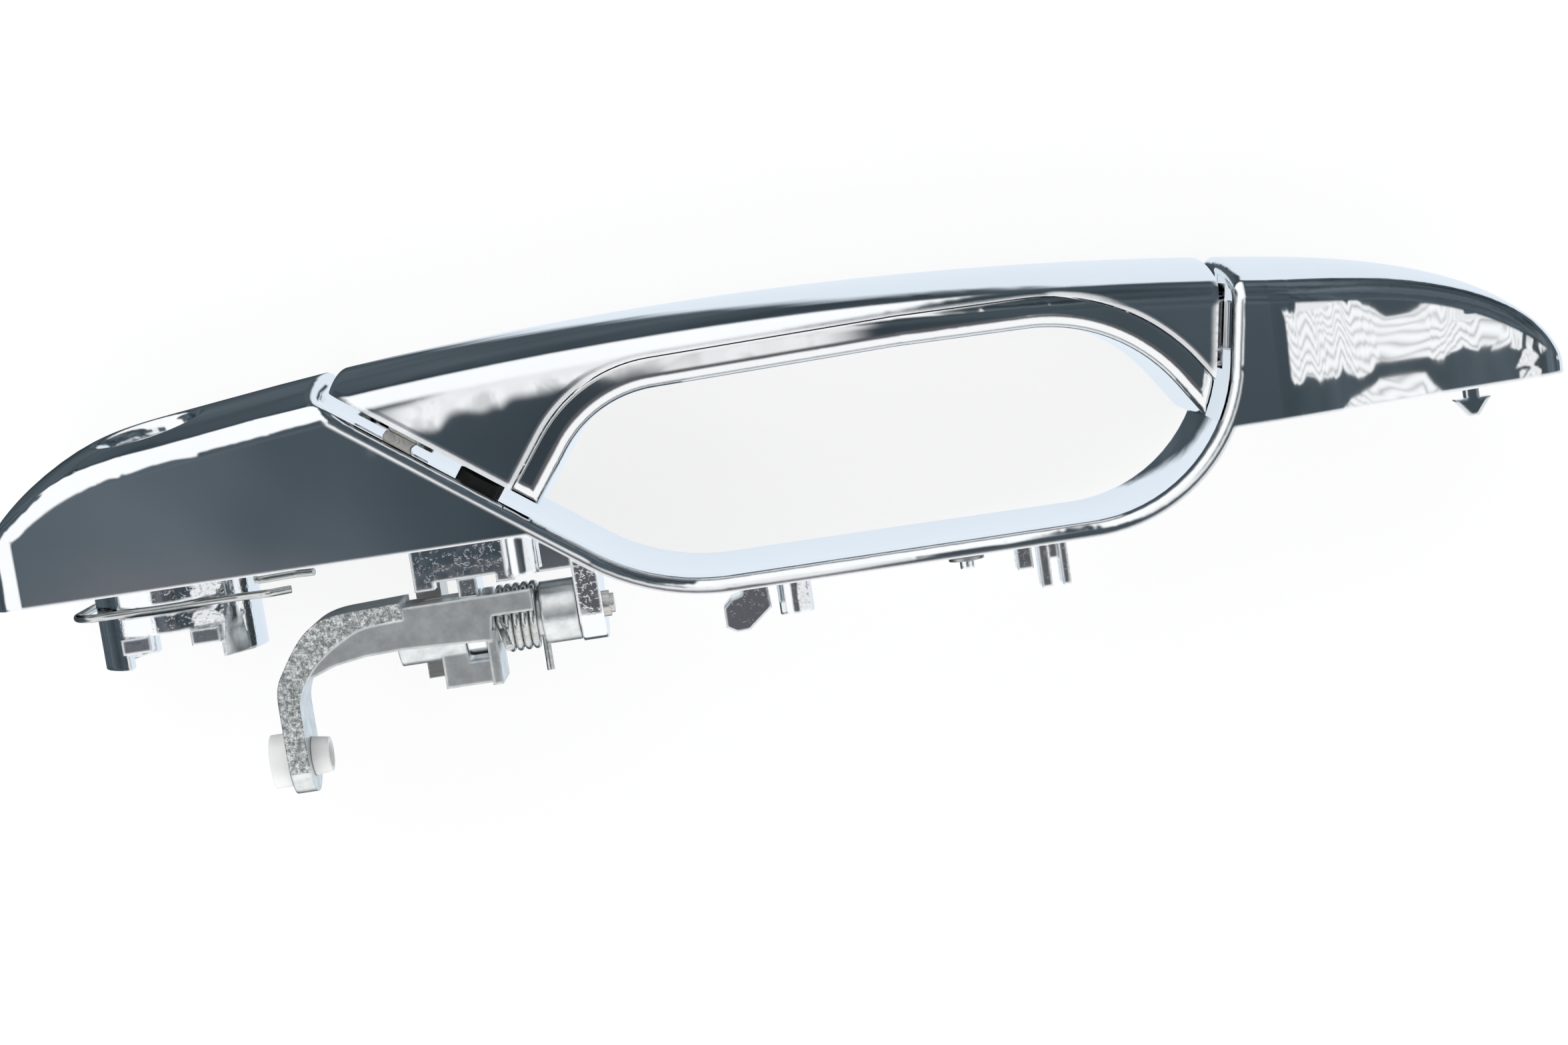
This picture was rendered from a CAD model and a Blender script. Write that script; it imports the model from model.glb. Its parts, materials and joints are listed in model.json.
import json
import math

import bpy
from mathutils import Matrix, Vector


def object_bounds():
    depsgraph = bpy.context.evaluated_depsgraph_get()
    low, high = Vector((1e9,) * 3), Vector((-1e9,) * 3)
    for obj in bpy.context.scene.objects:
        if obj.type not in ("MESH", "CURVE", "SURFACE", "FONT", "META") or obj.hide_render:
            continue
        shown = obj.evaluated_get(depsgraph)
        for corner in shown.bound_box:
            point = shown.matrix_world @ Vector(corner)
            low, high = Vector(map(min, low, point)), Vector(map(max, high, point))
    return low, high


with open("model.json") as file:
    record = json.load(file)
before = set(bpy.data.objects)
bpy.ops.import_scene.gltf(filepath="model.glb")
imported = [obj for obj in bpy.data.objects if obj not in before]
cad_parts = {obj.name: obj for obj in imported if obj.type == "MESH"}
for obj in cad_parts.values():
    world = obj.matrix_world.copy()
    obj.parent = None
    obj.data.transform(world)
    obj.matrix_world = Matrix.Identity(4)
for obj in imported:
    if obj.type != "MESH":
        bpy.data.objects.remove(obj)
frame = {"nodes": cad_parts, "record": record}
cad_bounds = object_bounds()
nodes = frame["nodes"]

MIDDLE_X = -0.096  # the handle's mid-length; the origin is on the lock's axis


# ---- Node helpers ----


def new_material(name):
    material = bpy.data.materials.new(name)
    material.use_nodes = True
    tree = material.node_tree
    tree.nodes.clear()
    output = tree.nodes.new("ShaderNodeOutputMaterial")
    shader = tree.nodes.new("ShaderNodeBsdfPrincipled")
    tree.links.new(shader.outputs["BSDF"], output.inputs["Surface"])
    return material, tree, shader


def rgba(colour):
    """A grey or a colour as four numbers; another node's output as it is."""
    if isinstance(colour, bpy.types.NodeSocket):
        return colour
    if isinstance(colour, (int, float)):
        return (colour, colour, colour, 1)
    return (*colour, 1)


def put(tree, socket, value):
    """Set an input to a number, a colour or another node's output."""
    if isinstance(value, bpy.types.NodeSocket):
        tree.links.new(value, socket)
    else:
        socket.default_value = value


def maths(tree, operation, *values):
    node = tree.nodes.new("ShaderNodeMath")
    node.operation = operation
    for socket, value in zip(node.inputs, values):
        put(tree, socket, value)
    return node.outputs["Value"]


def product(tree, *values):
    result = values[0]
    for value in values[1:]:
        result = maths(tree, "MULTIPLY", result, value)
    return result


def swayed(tree, value, wobble, amount):
    """The value with a share of the wobble added, which makes a straight edge wavy."""
    return maths(tree, "MULTIPLY_ADD", wobble, amount, value)


def rise(tree, value, start, end):
    """0 below start, 1 above end, smooth between them; start above end gives a fall."""
    node = tree.nodes.new("ShaderNodeMapRange")
    node.interpolation_type = "SMOOTHSTEP"
    put(tree, node.inputs["Value"], value)
    node.inputs["From Min"].default_value = start
    node.inputs["From Max"].default_value = end
    return node.outputs["Result"]


def mix(tree, share, first, second):
    node = tree.nodes.new("ShaderNodeMix")
    node.data_type = "RGBA"
    factor, first_colour, second_colour = node.inputs[0], node.inputs[6], node.inputs[7]
    put(tree, factor, share)
    put(tree, first_colour, rgba(first))
    put(tree, second_colour, rgba(second))
    return node.outputs[2]


def object_coordinates(tree, scale=(1, 1, 1)):
    coordinates = tree.nodes.new("ShaderNodeTexCoord")
    mapping = tree.nodes.new("ShaderNodeMapping")
    mapping.inputs["Scale"].default_value = scale
    tree.links.new(coordinates.outputs["Object"], mapping.inputs["Vector"])
    return mapping.outputs["Vector"]


def axes_of(tree, vector):
    node = tree.nodes.new("ShaderNodeSeparateXYZ")
    tree.links.new(vector, node.inputs["Vector"])
    return node.outputs["X"], node.outputs["Y"], node.outputs["Z"]


def noise(tree, vector, scale, detail=4.0, roughness=0.5, distortion=0.0):
    node = tree.nodes.new("ShaderNodeTexNoise")
    node.inputs["Scale"].default_value = scale
    node.inputs["Detail"].default_value = detail
    node.inputs["Roughness"].default_value = roughness
    node.inputs["Distortion"].default_value = distortion
    tree.links.new(vector, node.inputs["Vector"])
    return node.outputs["Fac"]


def ramp(tree, value, stops):
    node = tree.nodes.new("ShaderNodeValToRGB")
    elements = node.color_ramp.elements
    elements[0].position, elements[0].color = stops[0][0], rgba(stops[0][1])
    elements[1].position, elements[1].color = stops[-1][0], rgba(stops[-1][1])
    for position, colour in stops[1:-1]:
        element = elements.new(position)
        element.color = rgba(colour)
    tree.links.new(value, node.inputs["Fac"])
    return node.outputs["Color"]


def bump(tree, shader, height, strength, distance, base_normal=None):
    node = tree.nodes.new("ShaderNodeBump")
    put(tree, node.inputs["Strength"], strength)
    node.inputs["Distance"].default_value = distance
    tree.links.new(height, node.inputs["Height"])
    if base_normal is not None:
        tree.links.new(base_normal, node.inputs["Normal"])
    tree.links.new(node.outputs["Normal"], shader.inputs["Normal"])


def bevel_normal(tree, radius):
    node = tree.nodes.new("ShaderNodeBevel")
    node.samples = 6
    node.inputs["Radius"].default_value = radius
    return node.outputs["Normal"]


# ---- Materials ----

BLEND = 0.0001  # width of the change between two finishes on one piece

# Where the base is left as cast: behind the dish, and in the bays round the crank and its web,
# but not on the handle's polished sides
DISH_BACK_Y = 0.0142
CRANK_BAY = (-0.0665, 0.006)
WEB_BAY = (-0.054, 0.0003)
SIDE_MARGIN_Z = 0.0145

PIT_SCALE = 1500
CAST_WAVE_SCALE = 150
CAST_WAVE_HEIGHT = 4.0  # against pits of height 1
CAST_STRENGTH = 0.05
CAST_DEPTH = 0.0003


def as_cast(tree, place):
    """1 on the rough cast features behind the handle, 0 on its polished outside."""
    x, y, z = axes_of(tree, place)
    behind = rise(tree, y, DISH_BACK_Y - BLEND, DISH_BACK_Y)
    for bay_x, bay_y in (CRANK_BAY, WEB_BAY):
        past_x = rise(tree, x, bay_x - BLEND, bay_x)
        past_y = rise(tree, y, bay_y - BLEND, bay_y)
        behind = maths(tree, "MAXIMUM", behind, product(tree, past_x, past_y))
    inner = rise(tree, maths(tree, "ABSOLUTE", z), SIDE_MARGIN_Z + BLEND, SIDE_MARGIN_Z)
    return product(tree, behind, inner)


def chrome(name, colour, roughness, edge_radius, pitted=False):
    """Polished plating with rounded edges, wiped-on smears, and pits where it's left as cast."""
    material, tree, shader = new_material(name)
    place = object_coordinates(tree)
    shader.inputs["Metallic"].default_value = 1.0
    smear = noise(tree, place, 60, 6, 0.6, 0.8)
    tint = ramp(tree, smear, [(0.35, [c * 0.965 for c in colour]), (0.7, colour)])
    gloss = ramp(tree, smear, [(0.4, roughness), (0.75, roughness * 1.8)])
    tree.links.new(tint, shader.inputs["Base Color"])
    tree.links.new(gloss, shader.inputs["Roughness"])
    rounded = bevel_normal(tree, edge_radius)
    if pitted:
        pits = ramp(tree, noise(tree, place, PIT_SCALE, 3, 0.6), [(0.36, 0.0), (0.44, 1.0), (1.0, 1.0)])
        waves = noise(tree, place, CAST_WAVE_SCALE, 2, 0.5)
        height = maths(tree, "MULTIPLY_ADD", waves, CAST_WAVE_HEIGHT, pits)
        strength = product(tree, as_cast(tree, place), CAST_STRENGTH)
        bump(tree, shader, height, strength, CAST_DEPTH, rounded)
    else:
        bump(tree, shader, noise(tree, place, 22, 1, 0.4), 0.03, 0.002, rounded)
    return material


# The crank's strip and arm are speckled on their near face, short of the arm's tip
SPECKLE_Z = 0.0136
ARM_TIP_Y = 0.0332


def cast_zinc(name):
    """Satin casting, coarsely speckled on the flat near face of its strip and arm."""
    material, tree, shader = new_material(name)
    place = object_coordinates(tree)
    _, y, z = axes_of(tree, place)
    near_face = rise(tree, z, SPECKLE_Z - BLEND, SPECKLE_Z)
    short_of_tip = rise(tree, y, ARM_TIP_Y + BLEND, ARM_TIP_Y)
    speckled = product(tree, near_face, short_of_tip)
    shader.inputs["Metallic"].default_value = 1.0
    grains = noise(tree, place, 1700, 4, 0.75)
    specks = ramp(tree, grains, [(0.38, (0.20, 0.22, 0.22)), (0.5, (0.44, 0.47, 0.47)), (0.62, 0.9)])
    cloud = noise(tree, place, 420, 4, 0.6)
    satin = ramp(tree, cloud, [(0.35, (0.62, 0.65, 0.65)), (0.65, (0.82, 0.84, 0.84))])
    tree.links.new(mix(tree, speckled, satin, specks), shader.inputs["Base Color"])
    shader.inputs["Roughness"].default_value = 0.3
    strength = maths(tree, "MULTIPLY_ADD", speckled, 0.5, 0.12)
    bump(tree, shader, grains, strength, 0.0003, bevel_normal(tree, 0.0007))
    return material


def plated_steel(name, colour, roughness):
    """Bright zinc plating, faintly streaked along the handle."""
    material, tree, shader = new_material(name)
    place = object_coordinates(tree)
    shader.inputs["Metallic"].default_value = 1.0
    drawn = noise(tree, object_coordinates(tree, (40, 400, 400)), 6, 4, 0.6)
    tint = ramp(tree, drawn, [(0.3, [c * 0.7 for c in colour]), (0.7, colour)])
    tree.links.new(tint, shader.inputs["Base Color"])
    shader.inputs["Roughness"].default_value = roughness
    bump(tree, shader, noise(tree, place, 1200, 2), 0.08, 0.0002, bevel_normal(tree, 0.0003))
    return material


def white_plastic(name):
    material, tree, shader = new_material(name)
    place = object_coordinates(tree)
    cloud = noise(tree, place, 160, 3)
    tint = ramp(tree, cloud, [(0.3, (0.80, 0.81, 0.80)), (0.7, (0.92, 0.92, 0.91))])
    tree.links.new(tint, shader.inputs["Base Color"])
    shader.inputs["Roughness"].default_value = 0.38
    shader.inputs["Subsurface Weight"].default_value = 0.35
    shader.inputs["Subsurface Radius"].default_value = (0.002, 0.002, 0.002)
    shader.inputs["Subsurface Scale"].default_value = 0.5
    bump(tree, shader, noise(tree, place, 700, 2), 0.05, 0.0002, bevel_normal(tree, 0.0003))
    return material


def black_rubber(name):
    material, tree, shader = new_material(name)
    place = object_coordinates(tree)
    tint = ramp(tree, noise(tree, place, 500, 3), [(0.3, 0.012), (0.7, 0.03)])
    tree.links.new(tint, shader.inputs["Base Color"])
    shader.inputs["Roughness"].default_value = 0.7
    bump(tree, shader, noise(tree, place, 2000, 2), 0.2, 0.0001)
    return material


CHROME_BLUE = (0.88, 0.90, 0.92)
CHROME_GREY = (0.84, 0.85, 0.86)
SLOT_MATERIALS = {
    "chrome_casting": chrome("chrome_casting", CHROME_BLUE, 0.014, 0.0007, pitted=True),
    "chrome_plate": chrome("chrome_plate", CHROME_BLUE, 0.012, 0.0016),
    "chrome_grip": chrome("chrome_grip", CHROME_GREY, 0.02, 0.0006),
    "zinc_casting": cast_zinc("zinc_casting"),
    "zinc_plated_steel": plated_steel("zinc_plated_steel", (0.66, 0.65, 0.62), 0.25),
    "screw_steel": plated_steel("screw_steel", (0.6, 0.6, 0.58), 0.3),
    "spring_wire": plated_steel("spring_wire", (0.68, 0.70, 0.69), 0.2),
    "spring_steel": plated_steel("spring_steel", (0.5, 0.5, 0.5), 0.28),
    "white_plastic": white_plastic("white_plastic"),
    "black_rubber": black_rubber("black_rubber"),
}

slot_of = {s["node"]: s["material_slot"] for s in frame["record"]["subparts"]}
for name, node in nodes.items():
    node.data.materials.clear()
    node.data.materials.append(SLOT_MATERIALS[slot_of[name]])


# ---- Floor: white, with only a trace of shadow, and left out of the chrome's reflections ----

FLOOR_DROP = 0.0004
FLOOR_SIDE = 3.0
FLOOR_GLOW = 0.80
floor_z = cad_bounds[0][2] - FLOOR_DROP
floor_mesh = bpy.data.meshes.new("floor")
floor_mesh.from_pydata(
    [
        (-FLOOR_SIDE, -FLOOR_SIDE, floor_z),
        (FLOOR_SIDE, -FLOOR_SIDE, floor_z),
        (FLOOR_SIDE, FLOOR_SIDE, floor_z),
        (-FLOOR_SIDE, FLOOR_SIDE, floor_z),
    ],
    [],
    [(0, 1, 2, 3)],
)
floor = bpy.data.objects.new("floor", floor_mesh)
bpy.context.scene.collection.objects.link(floor)
floor_material, floor_tree, floor_shader = new_material("floor")
floor_cloud = noise(floor_tree, object_coordinates(floor_tree), 3, 2)
floor_tint = ramp(floor_tree, floor_cloud, [(0.3, 0.24), (0.7, 0.26)])
floor_tree.links.new(floor_tint, floor_shader.inputs["Base Color"])
floor_shader.inputs["Emission Color"].default_value = (1, 1, 1, 1)
floor_shader.inputs["Emission Strength"].default_value = FLOOR_GLOW
floor_shader.inputs["Roughness"].default_value = 0.9
floor_shader.inputs["Specular IOR Level"].default_value = 0.0
floor_mesh.materials.append(floor_material)
floor.visible_glossy = False


# ---- Camera: above the handle, a little on its outward side ----

ROLL = math.radians(8.47)
NEAR_PLANE_Z = 0.0175
CAMERA_DISTANCE = 0.400
CAMERA_OUT = -0.038
AIM_Y = 0.0038
AIM_X = MIDDLE_X + 0.0006
VIEW_WIDTH = 0.2352
SENSOR_WIDTH = 36

target = Vector((AIM_X, AIM_Y, NEAR_PLANE_Z))
eye = Vector((AIM_X, CAMERA_OUT, NEAR_PLANE_Z + CAMERA_DISTANCE))
forward = (target - eye).normalized()
up = Vector((-math.sin(ROLL), -math.cos(ROLL), 0))
up = (up - up.dot(forward) * forward).normalized()
right = forward.cross(up)
camera_data = bpy.data.cameras.new("camera")
camera = bpy.data.objects.new("camera", camera_data)
camera_data.sensor_width = SENSOR_WIDTH
camera_data.lens = SENSOR_WIDTH * (target - eye).length / VIEW_WIDTH
camera_data.clip_start = 0.01
camera.matrix_world = Matrix.Translation(eye) @ Matrix((right, up, -forward)).transposed().to_4x4()
bpy.context.scene.collection.objects.link(camera)
bpy.context.scene.camera = camera


# ---- Lamps: soft, and left out of the chrome's reflections ----


def panel(name, location, size, power):
    """A soft lamp aimed at the handle's middle."""
    data = bpy.data.lights.new(name, "AREA")
    data.shape = "RECTANGLE"
    data.size, data.size_y = size
    data.energy = power
    lamp = bpy.data.objects.new(name, data)
    lamp.location = location
    toward = Vector((MIDDLE_X, 0, 0)) - Vector(location)
    lamp.rotation_euler = toward.to_track_quat("-Z", "Y").to_euler()
    lamp.visible_glossy = False
    bpy.context.scene.collection.objects.link(lamp)


panel("panel_out", (MIDDLE_X, -1.3, 0.75), (2.2, 0.7), 10)
panel("panel_back", (MIDDLE_X + 0.2, 1.4, 0.5), (2.0, 0.6), 6)


# ---- The room that the chrome reflects: white walls, dark above the camera and low down ----
# Places in it are directions from the handle, as parts of a unit vector

SLATE_DEEP = (0.030, 0.040, 0.050)
SLATE = (0.075, 0.098, 0.116)
SLATE_PALE = (0.150, 0.180, 0.205)
SMUDGE = (0.20, 0.19, 0.20)
PALE_BLUE = (0.80, 0.88, 0.96)
WALL_WHITE = 1.12
BACKDROP_WHITE = 1.0

CEILING_Z = (0.885, 0.905)
SKIRTING_Z = (-0.56, -0.66)
FLOOR_DISC_Z = (-0.90, -0.94)
KEY_END_X = (0.55, 0.80)  # the skirting stands higher beyond the key end
KEY_END_LIFT = 0.80
DISC_SLANT = 0.5
BOARD_X = (-0.13, -0.16)
BOARD_Y = (0.22, 0.18)
HEAP_X = 0.72
HEAP_SLOPE = 0.15
CLOTH_HEM = 0.015
CREASES_PER_UNIT = 1500.0
CREASE_WOBBLE = 60.0

world = bpy.data.worlds.new("world")
bpy.context.scene.world = world
world.use_nodes = True
tree = world.node_tree
tree.nodes.clear()
output = tree.nodes.new("ShaderNodeOutputWorld")
background = tree.nodes.new("ShaderNodeBackground")
tree.links.new(background.outputs["Background"], output.inputs["Surface"])
direction = tree.nodes.new("ShaderNodeTexCoord").outputs["Generated"]
x, y, z = axes_of(tree, direction)
wobble = maths(tree, "SUBTRACT", noise(tree, direction, 9, 4, 0.55, 0.5), 0.5)

clouds = noise(tree, direction, 2.6, 3, 0.5, 0.4)
slate = ramp(tree, clouds, [(0.34, SLATE_DEEP), (0.52, SLATE), (0.70, SLATE_PALE)])

# Ceiling: slate, with a smudge, and a white cloth over the middle of the handle
cloth_edge = swayed(tree, y, wobble, 0.05)
cloth_side = swayed(tree, x, wobble, 0.10)
over_middle = product(
    tree,
    rise(tree, cloth_edge, 0.050, 0.046),
    rise(tree, cloth_side, -0.09, -0.06),
    rise(tree, x, 0.17, 0.14),
)
folds = ramp(tree, noise(tree, direction, 40, 3, 0.5, 1.5), [(0.38, 0.72), (0.5, 1.05), (0.62, 0.95)])
smudge = rise(tree, swayed(tree, y, wobble, 0.08), 0.085, 0.115)
ceiling = mix(tree, product(tree, smudge, 0.5), slate, SMUDGE)
ceiling = mix(tree, over_middle, ceiling, folds)

# Beyond the front end a dark board, with a white cloth lying on its middle and a pale heap below
board = product(tree, rise(tree, y, *BOARD_Y), rise(tree, x, *BOARD_X))
heap_side = maths(tree, "ABSOLUTE", maths(tree, "ADD", x, HEAP_X))
heap_edge = maths(tree, "MULTIPLY_ADD", heap_side, -HEAP_SLOPE, swayed(tree, y, wobble, 0.015))
heap = rise(tree, heap_edge, 0.0700, 0.0706)
hem = swayed(tree, maths(tree, "SUBTRACT", y, CLOTH_HEM), wobble, 0.02)
cloth_low = maths(tree, "MAXIMUM", heap_edge, hem)
cloth_end = swayed(tree, z, wobble, 0.12)
on_board = product(
    tree,
    rise(tree, cloth_edge, 0.0500, 0.0507),
    rise(tree, cloth_low, 0.0640, 0.0634),
    rise(tree, cloth_side, -0.335, -0.345),
    rise(tree, cloth_end, 0.28, 0.30),
)
crease_phase = maths(tree, "MULTIPLY_ADD", y, CREASES_PER_UNIT, product(tree, wobble, CREASE_WOBBLE))
crease_height = maths(tree, "MULTIPLY_ADD", maths(tree, "SINE", crease_phase), 0.5, 0.5)
creases = ramp(tree, crease_height, [(0.0, 0.42), (0.12, 0.86), (0.5, 1.02), (1.0, 1.12)])
white_on_board = product(tree, board, maths(tree, "MAXIMUM", on_board, heap))

# The whole room, from the ceiling down
lean = swayed(tree, z, wobble, 0.06)
room = mix(tree, rise(tree, lean, *CEILING_Z), WALL_WHITE, ceiling)
room = mix(tree, board, room, slate)
room = mix(tree, white_on_board, room, creases)
skirting = maths(tree, "MULTIPLY_ADD", rise(tree, x, *KEY_END_X), -KEY_END_LIFT, lean)
room = mix(tree, rise(tree, skirting, *SKIRTING_Z), room, slate)
floor_disc = maths(tree, "MULTIPLY_ADD", x, DISC_SLANT, lean)
room = mix(tree, rise(tree, floor_disc, *FLOOR_DISC_Z), room, PALE_BLUE)

# Only reflections show the room; behind the handle there is plain white
seen_directly = tree.nodes.new("ShaderNodeLightPath").outputs["Is Camera Ray"]
tree.links.new(mix(tree, seen_directly, room, BACKDROP_WHITE), background.inputs["Color"])

bpy.context.scene.view_settings.view_transform = "Standard"
